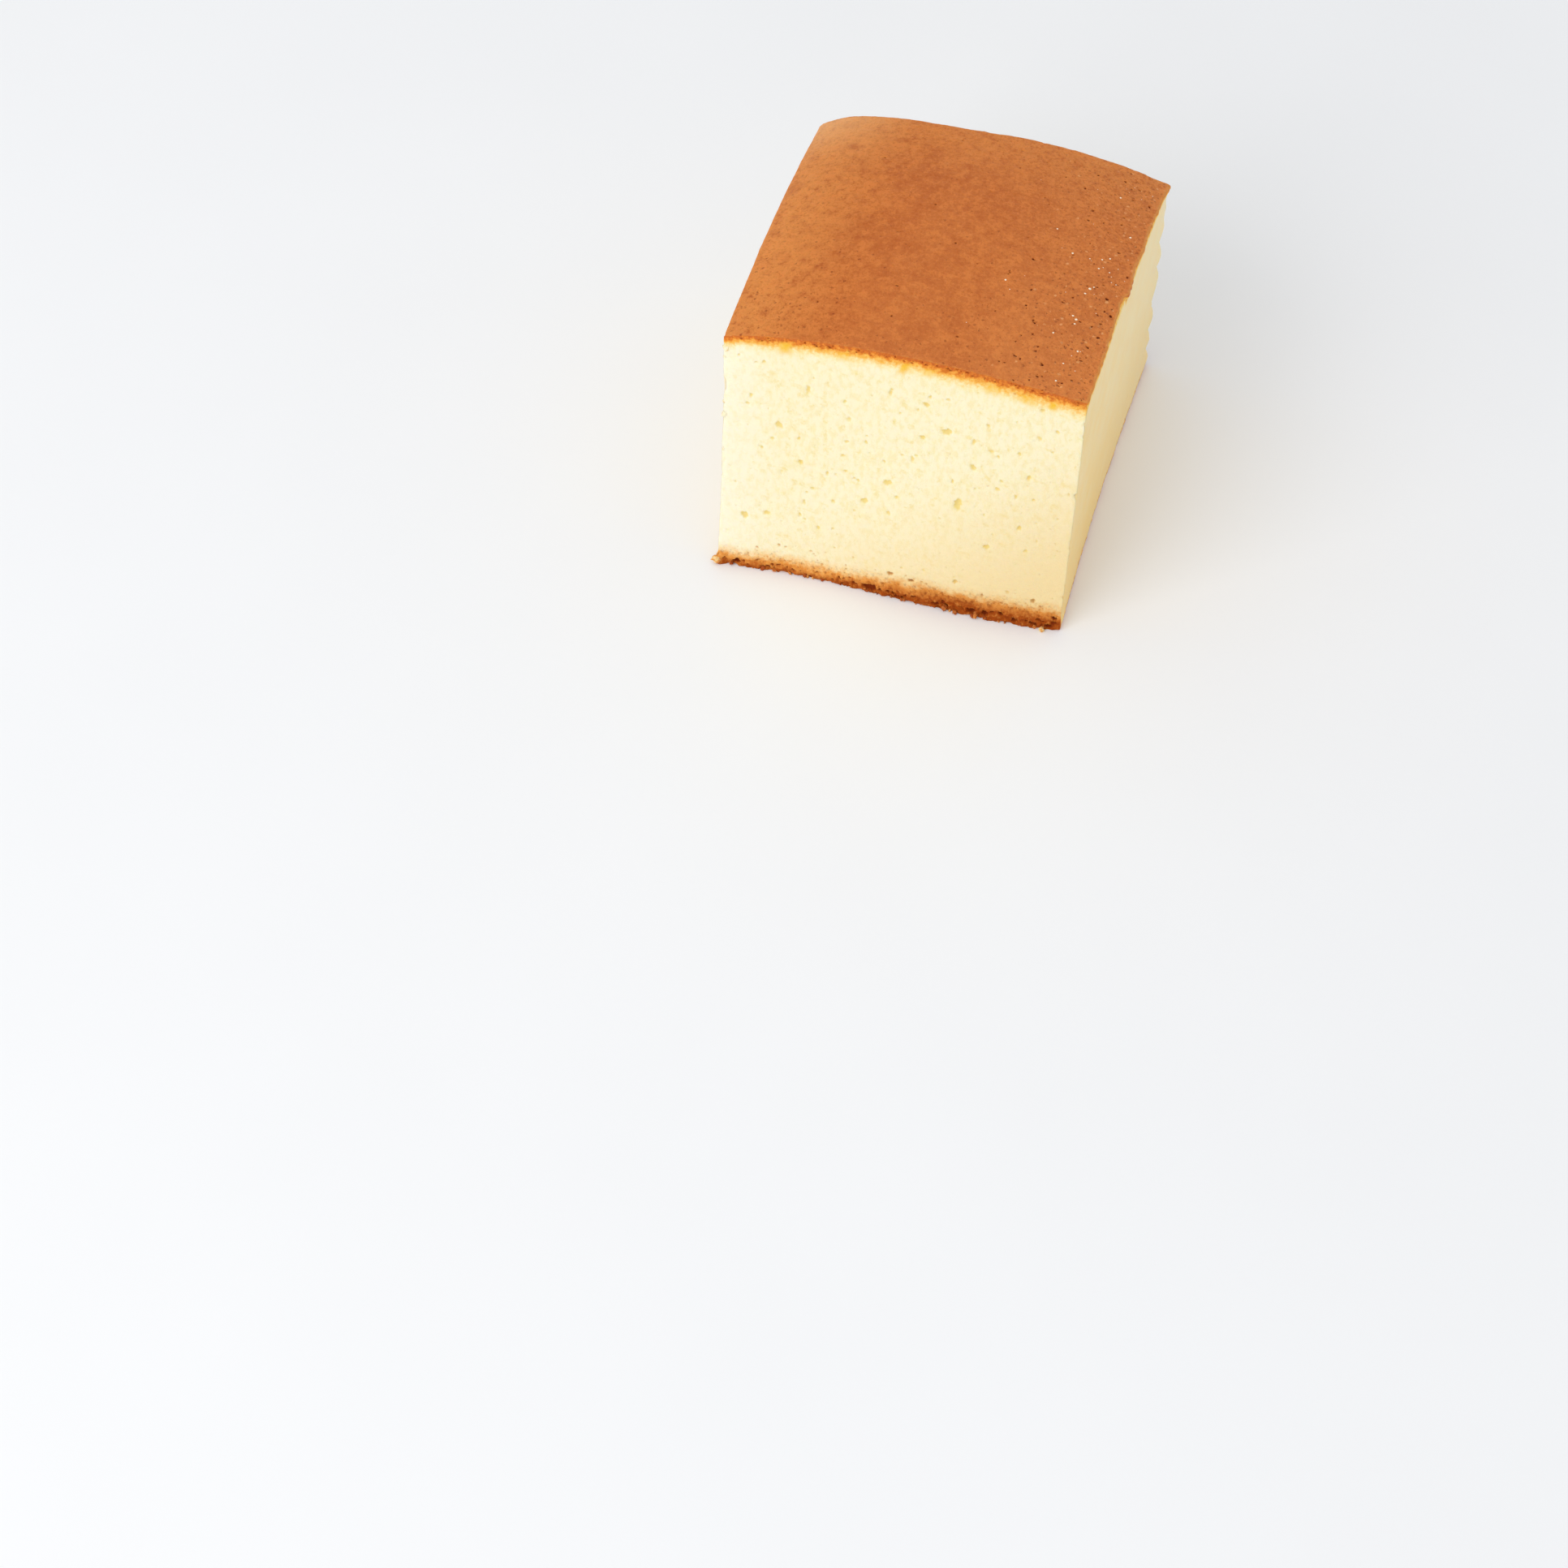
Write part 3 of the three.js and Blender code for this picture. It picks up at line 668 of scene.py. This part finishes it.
# Painted sheen over the crust's middle and right, strongest towards the front
painted_sheen = baked.both(baked.span(across, 20, 38), baked.span(across, 50, 64, 1, 2),
                  baked.span(along, 70, 4, 0.07, 0.16))
# Painted highlight on the crust's back left corner
painted_highlight = baked.both(baked.span(across, 26, 2), baked.span(along, 66, 88, 0.03, 0.5))
blistered = baked.both(baked.dots(1.5, 0.42, baked.span(across, 56, 82, 0, 0.35)), 0.55)
side_rim = baked.both(baked.span(across, 76, 79), baked.span(under_skin, -1.1, -0.2),
                      baked.span(leather, 0.42, 0.6, 1, 0.35))
tan = baked.coats(
    CRUST_BROWN,
    (baked.span(patches, 0.38, 0.7, 0, 0.65), CRUST_DEEP),
    (baked.span(across, 2, 32, 0.9, 0), CRUST_LIGHT),      # towards the left
    (baked.span(along, 60, 92, 0, 0.6), CRUST_LIGHT),      # towards the back
    (baked.span(blotches, 0.5, 0.7, 0, 0.4), CRUST_DEEP),
    (baked.span(blotches, 0.5, 0.3, 0, 0.35), CRUST_FLECK),
    (baked.span(leather, 0.48, 0.68, 0, 0.85), CRUST_DEEP),
    (baked.span(leather, 0.52, 0.34, 0, 0.75), CRUST_FLECK),
    (creased, CRUST_DEEP),
    (baked.both(baked.span(grain, 0.5, 0.68), grainy), CRUST_DEEP),
    (baked.both(baked.span(grain, 0.5, 0.3), baked.both(grainy, 0.85)), CRUST_FLECK),
    (pricked, PINPRICK),
    (painted_sheen, CRUST_PAINTED_SHEEN),
    (painted_highlight, CRUST_BLISTER_AND_HIGHLIGHT),
    (blistered, CRUST_BLISTER_AND_HIGHLIGHT),
    # Painted shade in the crust's pits and pinholes
    (baked.span(hollowed, 0.04, 0.3, 0, 0.95), PINHOLE_SHADE),
    (side_rim, EDGE_TAN),
)

# From the skin down into the crumb: brown with dark splits whose dark is painted shade, orange, gold, in
# a soft frayed line
frayed = baked.noise(0.9, 4, 0.6)
depth = baked.sum("ADD", under_skin, baked.span(frayed, 0.25, 0.75, -0.6, 0.6))
rim = baked.ramp(baked.sum("DIVIDE", depth, RIM_COLOURS_DEPTH),
                 (0.0, RIM_BROWN), (0.16, RIM_ORANGE), (0.38, RIM_GOLD), (0.72, RIM_PALE))
torn_rim = baked.both(baked.span(depth, 0.9, 0.1), baked.span(on_cut, 0, 1, 0.75, 0))
split_shade = baked.both(baked.span(hollowed, 0.04, 0.25, 0, 0.9), baked.span(depth, 1.9, 0.9, 0.25, 1))
rim = baked.coats(
    rim,
    (torn_rim, EDGE_TAN),
    (baked.span(dragged, 0, 1, 0, 0.9), DRAGGED_GOLD),
    (split_shade, SPLIT_SHADE),
)
under_crust_colour = baked.blend(baked.span(depth, 1.3, 4.2), rim, crumb)
sponge_colour = baked.blend(baked.span(depth, -0.6, 0.15), tan, under_crust_colour)

# The base: brown below, then orange and peach, with dark pits whose dark is painted shade, and browner
# and higher towards the right, partly painted shade
baked_and_shaded_right = baked.both(baked.span(across, 22, 56), on_cut)
rise = baked.sum("MULTIPLY_ADD", baked_and_shaded_right, -2.1, above_base)
rise = baked.sum("ADD", rise, baked.span(baked.noise(1.1, 3, 0.55), 0.25, 0.75, -0.6, 0.6))
rise = baked.sum("ADD", rise, baked.span(baked.noise(6, 2), 0.3, 0.7, -0.5, 0.5))
toast = baked.ramp(baked.sum("DIVIDE", rise, BASE_COLOURS_HEIGHT),
                   (0.0, BASE_UNDER), (0.16, BASE_BROWN), (0.4, BASE_ORANGE), (0.72, BASE_PEACH))
mottled = baked.noise(1.0, 4, 0.65)
toast = baked.coats(
    toast,
    (baked.both(baked_and_shaded_right, 0.13), BASE_DARK_AND_SHADE),
    (baked.span(mottled, 0.5, 0.68, 0, 0.5), BASE_DARK_AND_SHADE),
    (baked.span(mottled, 0.48, 0.32, 0, 0.4), BASE_ORANGE),
    # Painted shade in the base's holes
    (baked.span(hollowed, 0.05, 0.6, 0, 0.95), BASE_DARK_AND_SHADE),
)
sponge_colour = baked.blend(baked.span(rise, 2.6, 6.6), toast, sponge_colour)

# The crust has a faint sheen, which its holes and the crumb don't share
on_crust = baked.span(under_skin, 0.0, 0.8, 1, 0)
crust_dullness = baked.between(baked.span(hollowed, 0.02, 0.15),
                               baked.span(grain, 0.3, 0.7, *CRUST_ROUGHNESS), HOLLOW_ROUGHNESS)
dullness = baked.between(on_crust, CRUMB_ROUGHNESS, crust_dullness)

# The two peeled sides are smooth, because the paper lay against them
open_crumb = baked.span(baked.sum("MAXIMUM", on_cut, on_crust), 0, 1, SMOOTH_SIDE, 1)
relief = baked.relief(baked.both(baked.noise(0.34, 4, 0.65), open_crumb), 0.1)
relief = baked.relief(baked.both(baked.noise(1.5, 4, 0.6), open_crumb), 0.18, relief)
baked.dress(sponge, {
    "Base Color": sponge_colour,
    "Roughness": dullness,
    "Specular IOR Level": 0.15,
    "Subsurface Weight": 0.3,
    "Subsurface Radius": GLOW,
    "Subsurface Scale": 2.2 * MM,
    "Normal": relief,
})

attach(sponge, "root")
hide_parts("castella_block")

# ---------------------------------------------------------------------------------------------
# Crumbs: rough bits of the browned base and of the pale sponge that the knife broke loose. They
# stay caught along the foot of both cuts and on the torn left front edge.
# ---------------------------------------------------------------------------------------------
FOOT_CRUMBS = 46         # along each cut's foot
FOOT_CRUMB_SIZE = (0.4, 1.2)
FOOT_CRUMB_ACROSS = (0.01, 0.99)
FOOT_CRUMB_RISE = 0.4            # how high their middles lie, for their size
FOOT_CRUMB_OUT = (-0.1, 0.4)     # how far out from the cut they lie
FOOT_CRUMB_BROWN = (0.5, 1.1)
CAUGHT = [               # across, along and up from 0 to 1 of the block, how far out, size, browning
    (0.0, 0.0, 0.945, -0.55, 1.7, 0.0),
    (0.0, 0.0, 0.915, -0.5, 1.2, 0.0),
    (0.0, 0.0, 0.72, -0.45, 1.0, 0.0),
    (0.0, 0.0, 0.665, -0.6, 1.7, 0.0),
    (0.0, 0.0, 0.52, -0.5, 1.1, 0.05),
    (0.0, 0.0, 0.31, -0.5, 1.1, 0.05),
    (0.0, 0.0, 0.018, 0.3, 2.0, 0.35),
    (0.95, 0.0, 0.01, 1.0, 1.7, 0.25),
    (0.67, 0.0, 0.015, 0.3, 1.4, 0.75),
    (0.7, 0.0, 0.01, 0.45, 1.1, 0.85),
    (0.76, 0.0, 0.015, 0.35, 1.5, 0.7),
    (0.79, 0.0, 0.01, 0.5, 1.0, 0.9),
    (0.1, 1.0, 0.012, 0.7, 1.5, 0.4),
    (0.42, 1.0, 0.015, 0.6, 1.4, 0.7),
]


def pebble(subdivisions):
    """Points and triangles of a ball of radius 1."""
    ball = bmesh.new()
    bmesh.ops.create_icosphere(ball, subdivisions=subdivisions, radius=1)
    points = np.array([point.co for point in ball.verts])
    triangles = np.array([[corner.index for corner in face.verts] for face in ball.faces])
    ball.free()
    return points, triangles


dice = np.random.default_rng(77)
bits = list(CAUGHT)
for back in (0.0, 1.0):
    for _ in range(FOOT_CRUMBS):
        size = mix(*FOOT_CRUMB_SIZE, dice.random() ** 2)
        bits.append((dice.uniform(*FOOT_CRUMB_ACROSS), back, FOOT_CRUMB_RISE * size / NOMINAL_HEIGHT,
                     dice.uniform(*FOOT_CRUMB_OUT), size, dice.uniform(*FOOT_CRUMB_BROWN)))
# A bit on the left front edge lies out from its corner, and the others straight out from their cut
ball, ball_faces = pebble(3)
bit_points, bit_faces, browned = [], [], []
for number, (u, v, w, out, size, brown) in enumerate(bits):
    spin = np.array(Euler(dice.uniform(0, 2 * math.pi, 3)).to_matrix())
    lumpy = 0.75 + 0.7 * np.abs(cloud(ball + 9 * number, 0.8, 31))
    lumpy += 0.5 * np.abs(cloud(ball + 9 * number, 0.35, 32))
    shape = (ball * lumpy[:, None] * dice.uniform(0.55, 1, 3) * size / 2) @ spin
    away = np.array([-0.8 if u == 0 else 0, -1 if v == 0 else 1, 0]) * out
    spot = plain_block(*np.array([[u], [v], [w]]))[0] + away
    bit_points.append(shape + spot)
    bit_faces.append(ball_faces + number * len(ball))
    browned.append(np.full(len(ball), brown))
bit_points = np.concatenate(bit_points)
bit_points[:, 2] = np.maximum(bit_points[:, 2], 0)
crumbs = mesh_from("caught_crumbs", bit_points, np.concatenate(bit_faces),
                   {"browned": np.concatenate(browned)})
broken = Recipe("broken_crumb")
patchy = broken.sum("ADD", broken.fact("browned"), broken.span(broken.noise(0.7, 4), 0.3, 0.7, -0.2, 0.2))
bit_colour = broken.ramp(patchy, (0.0, CRUMB), (0.25, BASE_PEACH), (0.45, BASE_ORANGE),
                         (0.7, BASE_BROWN), (0.95, BASE_UNDER))
broken.dress(crumbs, {
    "Base Color": bit_colour,
    "Roughness": 0.75,
    "Specular IOR Level": 0.4,
    "Subsurface Weight": 0.2,
    "Subsurface Radius": GLOW,
    "Subsurface Scale": 1.0 * MM,
    "Normal": broken.relief(broken.noise(0.3, 3), 0.1),
})
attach(crumbs, "root")
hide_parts("castella_block")

# ---------------------------------------------------------------------------------------------
# Syrup beads: sugar that boiled up through the thin right half of the crust and dried there as
# tiny hard beads, which catch the light.
# ---------------------------------------------------------------------------------------------
BEADS = [                # across, along and width; the largest
    (72.4, 36.0, 0.72), (71.9, 24.6, 0.66), (71.8, 33.9, 0.6), (76.6, 59.0, 0.54), (74.4, 14.8, 0.48),
    (71.0, 25.5, 0.54), (72.7, 43.9, 0.48), (66.4, 46.3, 0.48), (72.1, 4.0, 0.48), (55.0, 31.0, 0.48),
    (71.9, 23.1, 0.48), (71.6, 72.7, 0.48), (74.2, 48.7, 0.42), (61.5, 53.3, 0.42), (72.4, 9.8, 0.42),
    (75.1, 43.8, 0.36), (72.7, 47.4, 0.42), (68.3, 18.3, 0.42), (73.1, 37.0, 0.36), (70.2, 46.3, 0.36),
]
SMALL_BEADS = 26
SMALL_BEAD_WIDTH = (0.16, 0.28)
SMALL_BEAD_ALONG = (3, 82)
BEADS_RIGHT = 79.0       # the furthest to the right, how far in they lie on average and at most
BEADS_SPREAD = 9.0
BEADS_INWARD = 30.0
BEAD_LENGTH = (0.7, 1)   # for their width
BEAD_HEIGHT = 0.6
# Near white, partly a painted glint, so that the beads show as sparkles
SYRUP_AND_GLINT = colour(255, 238, 208)
dice = np.random.default_rng(78)
beads = list(BEADS)
for _ in range(SMALL_BEADS):
    beads.append((BEADS_RIGHT - dice.exponential(BEADS_SPREAD) % BEADS_INWARD,
                  dice.uniform(*SMALL_BEAD_ALONG), dice.uniform(*SMALL_BEAD_WIDTH)))
ball, ball_faces = pebble(2)
bead_points, bead_faces = [], []
for number, (x, y, wide) in enumerate(beads):
    spot = plain_block(np.array([x / WIDTH]), np.array([y / BASE_LENGTH]), np.ones(1))[0]
    shape = np.array([1, dice.uniform(*BEAD_LENGTH), BEAD_HEIGHT])
    bead_points.append(spot + ball * shape * wide / 2)
    bead_faces.append(ball_faces + number * len(ball))
syrup = mesh_from("syrup_beads", np.concatenate(bead_points), np.concatenate(bead_faces))
dried = Recipe("dried_syrup")
dried.dress(syrup, {"Base Color": SYRUP_AND_GLINT, "Roughness": 0.15})
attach(syrup, "root")
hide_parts("castella_block")

# ---------------------------------------------------------------------------------------------
# The table top: a plain pale floor under the block, dull and hardly clouded, and so wide that its
# ends lie far outside the view.
# ---------------------------------------------------------------------------------------------
TABLE_SIZE = 24.0        # metres
TABLE_PALE = colour(247, 247, 248)
TABLE_CLOUDED = colour(244, 244, 245)
table_mesh = bpy.data.meshes.new("table_top")
reach = TABLE_SIZE / 2
table_mesh.from_pydata([(-reach, -reach, 0), (reach, -reach, 0), (reach, reach, 0), (-reach, reach, 0)],
                       [], [(0, 1, 2, 3)])
table = bpy.data.objects.new("table_top", table_mesh)
bpy.context.scene.collection.objects.link(table)
pale = Recipe("pale_table")
pale.dress(table, {
    "Base Color": pale.blend(pale.noise(60, 3), TABLE_PALE, TABLE_CLOUDED),
    "Roughness": 0.7,
})

# ---------------------------------------------------------------------------------------------
# Light and camera: one large soft window to the front left, pale light all round, and a camera that
# looks steeply down on the block from the front right.
# ---------------------------------------------------------------------------------------------
WINDOW_TURN = -32        # degrees round from the front; below 0 is to the left
WINDOW_RISE = 38
WINDOW_AWAY = 1.4        # metres
WINDOW_SIZE = 1.0
WINDOW_POWER = 7.0
WINDOW_TINT = (1.0, 0.99, 0.97)
ROOM_LIGHT = 0.8
ROOM_TINT = (0.96, 0.98, 1.0, 1.0)
window_data = bpy.data.lights.new("window", "AREA")
window_data.shape = "SQUARE"
window_data.size = WINDOW_SIZE
window_data.energy = WINDOW_POWER
window_data.color = WINDOW_TINT
window = bpy.data.objects.new("window", window_data)
turn, climb = math.radians(WINDOW_TURN), math.radians(WINDOW_RISE)
towards = Vector((math.sin(turn) * math.cos(climb), -math.cos(turn) * math.cos(climb), math.sin(climb)))
window.location = towards * WINDOW_AWAY
window.rotation_euler = (-towards).to_track_quat("-Z", "Y").to_euler()
bpy.context.scene.collection.objects.link(window)

room = bpy.data.worlds.new("room")
room.use_nodes = True
sky = room.node_tree.nodes["Background"]
sky.inputs["Color"].default_value = ROOM_TINT
sky.inputs["Strength"].default_value = ROOM_LIGHT
bpy.context.scene.world = room
bpy.context.scene.view_settings.view_transform = "Standard"

CAMERA_PLACE = Vector((156.03, -396.68, 507.29))     # millimetres, from the block's front left foot
CAMERA_TURN, CAMERA_DROP, CAMERA_ROLL = 19.80, 54.44, 3.12   # degrees
CAMERA_LENS = 66.34
lens = bpy.data.cameras.new("camera")
lens.lens = CAMERA_LENS
camera = bpy.data.objects.new("camera", lens)
aim = Euler((math.radians(90 - CAMERA_DROP), 0, math.radians(CAMERA_TURN))).to_matrix()
roll = Matrix.Rotation(math.radians(-CAMERA_ROLL), 3, "Z")
camera.matrix_world = Matrix.Translation((CAMERA_PLACE - Vector(MIDDLE)) * MM) @ (aim @ roll).to_4x4()
bpy.context.scene.collection.objects.link(camera)
bpy.context.scene.camera = camera
